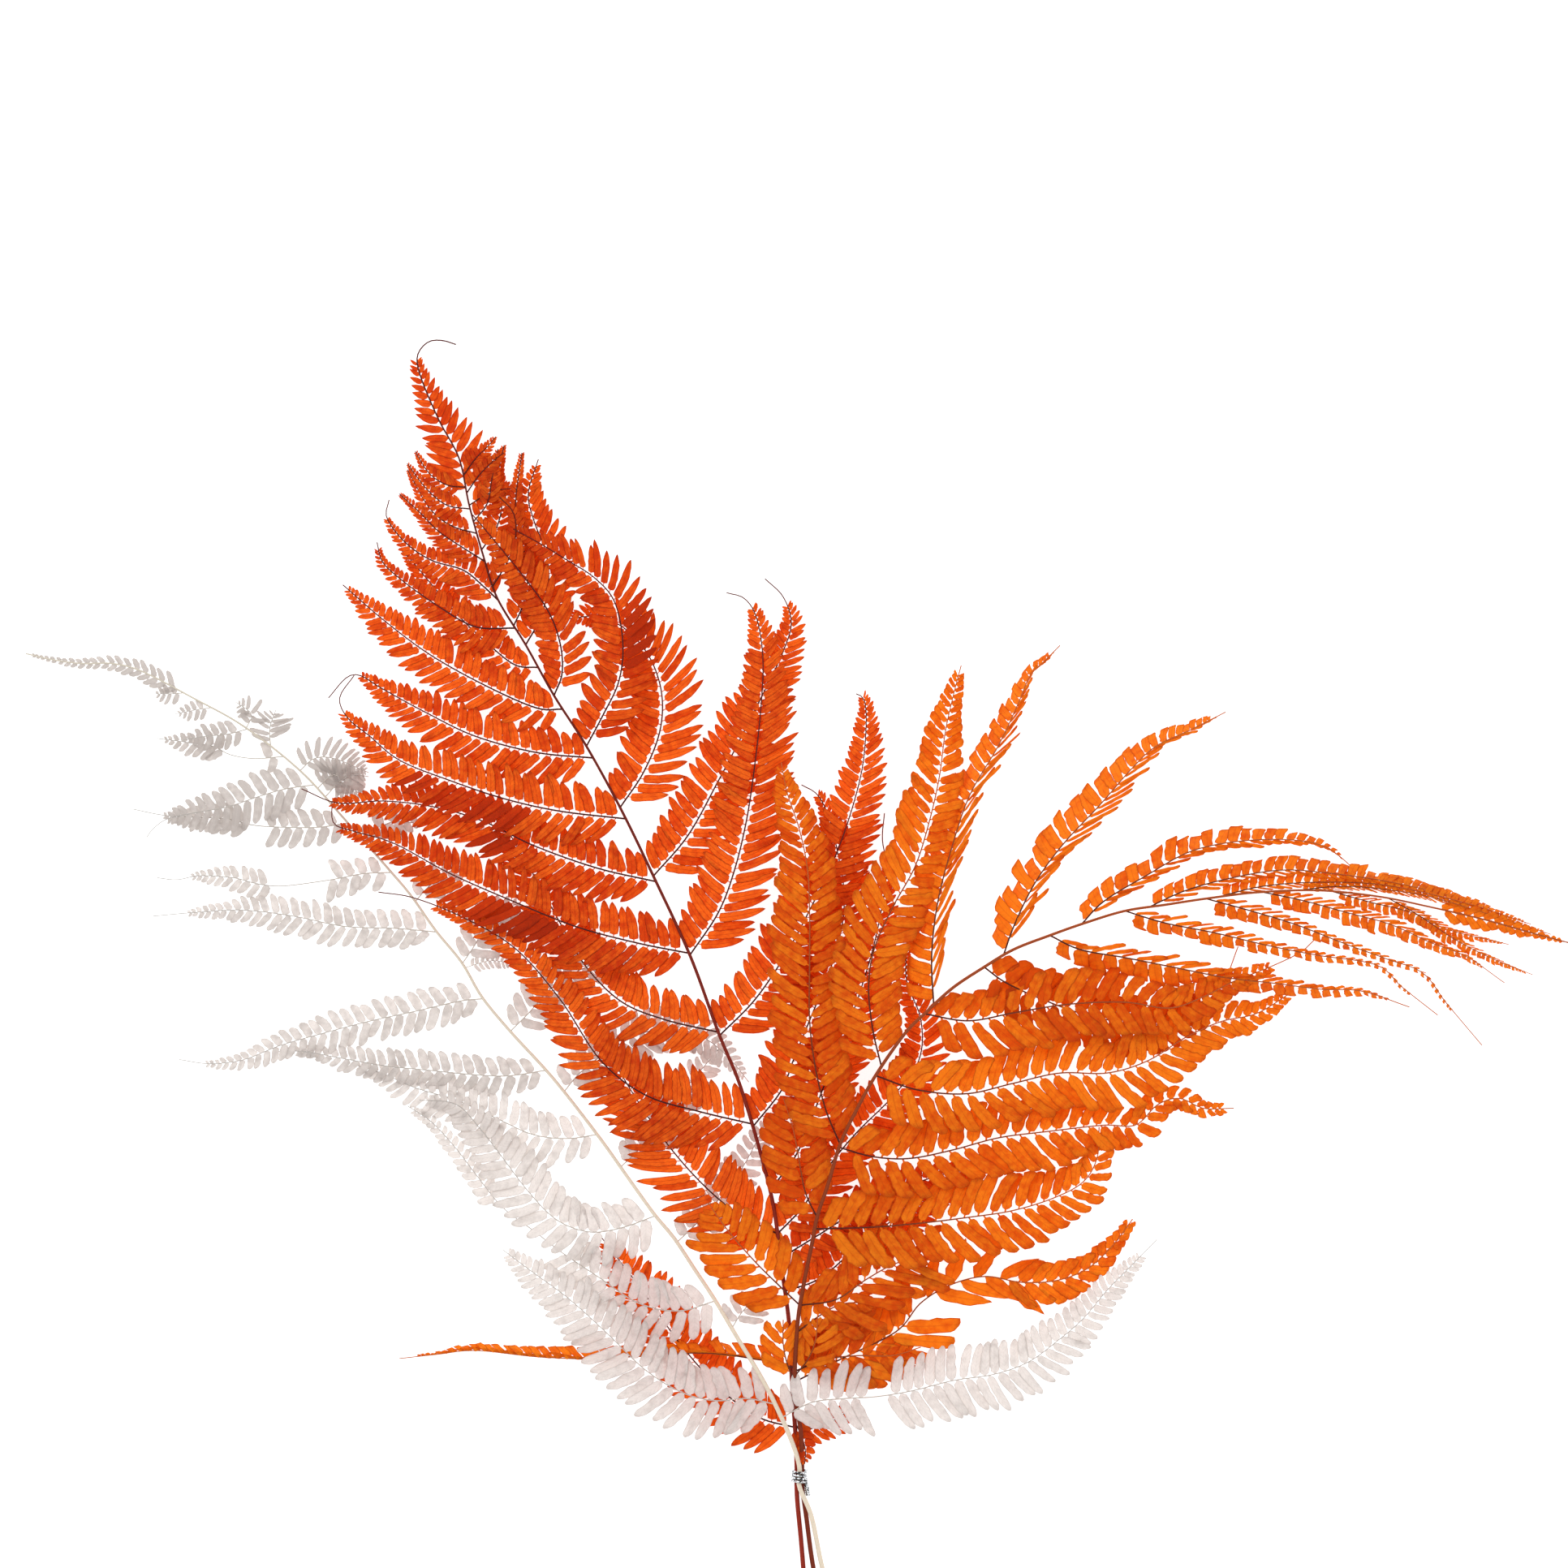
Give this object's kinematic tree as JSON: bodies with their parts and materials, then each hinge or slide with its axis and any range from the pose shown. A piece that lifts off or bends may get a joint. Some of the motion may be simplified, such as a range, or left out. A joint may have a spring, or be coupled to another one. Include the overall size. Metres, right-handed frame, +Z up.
{
  "type": "tied bunch of dried fern fronds",
  "caption": "Flat bunch of dried, dyed fern fronds: feathery scarlet, orange and bleached white fronds with thin stems, bound with a twist of silver wire.",
  "frame": {"origin": "on the table, at the middle of the flat on which the scarlet stem lies near its cut end", "axes": "+Z up off the table, +Y along the stems towards the fronds' tips, +X to the right, towards the orange frond's tip"},
  "size_m": [0.7712, 0.6546, 0.0427],
  "materials": {
    "scarlet_leaf": "matte, dyed dried leaf",
    "orange_leaf": "matte, dyed dried leaf",
    "white_leaf": "matte, bleached dried leaf",
    "wire": "bright drawn wire"
  },
  "bodies": {
    "root": {"frond_scarlet": "scarlet_leaf", "frond_orange": "orange_leaf", "frond_white": "white_leaf", "wire_tie": "wire"}
  },
  "joints": []
}
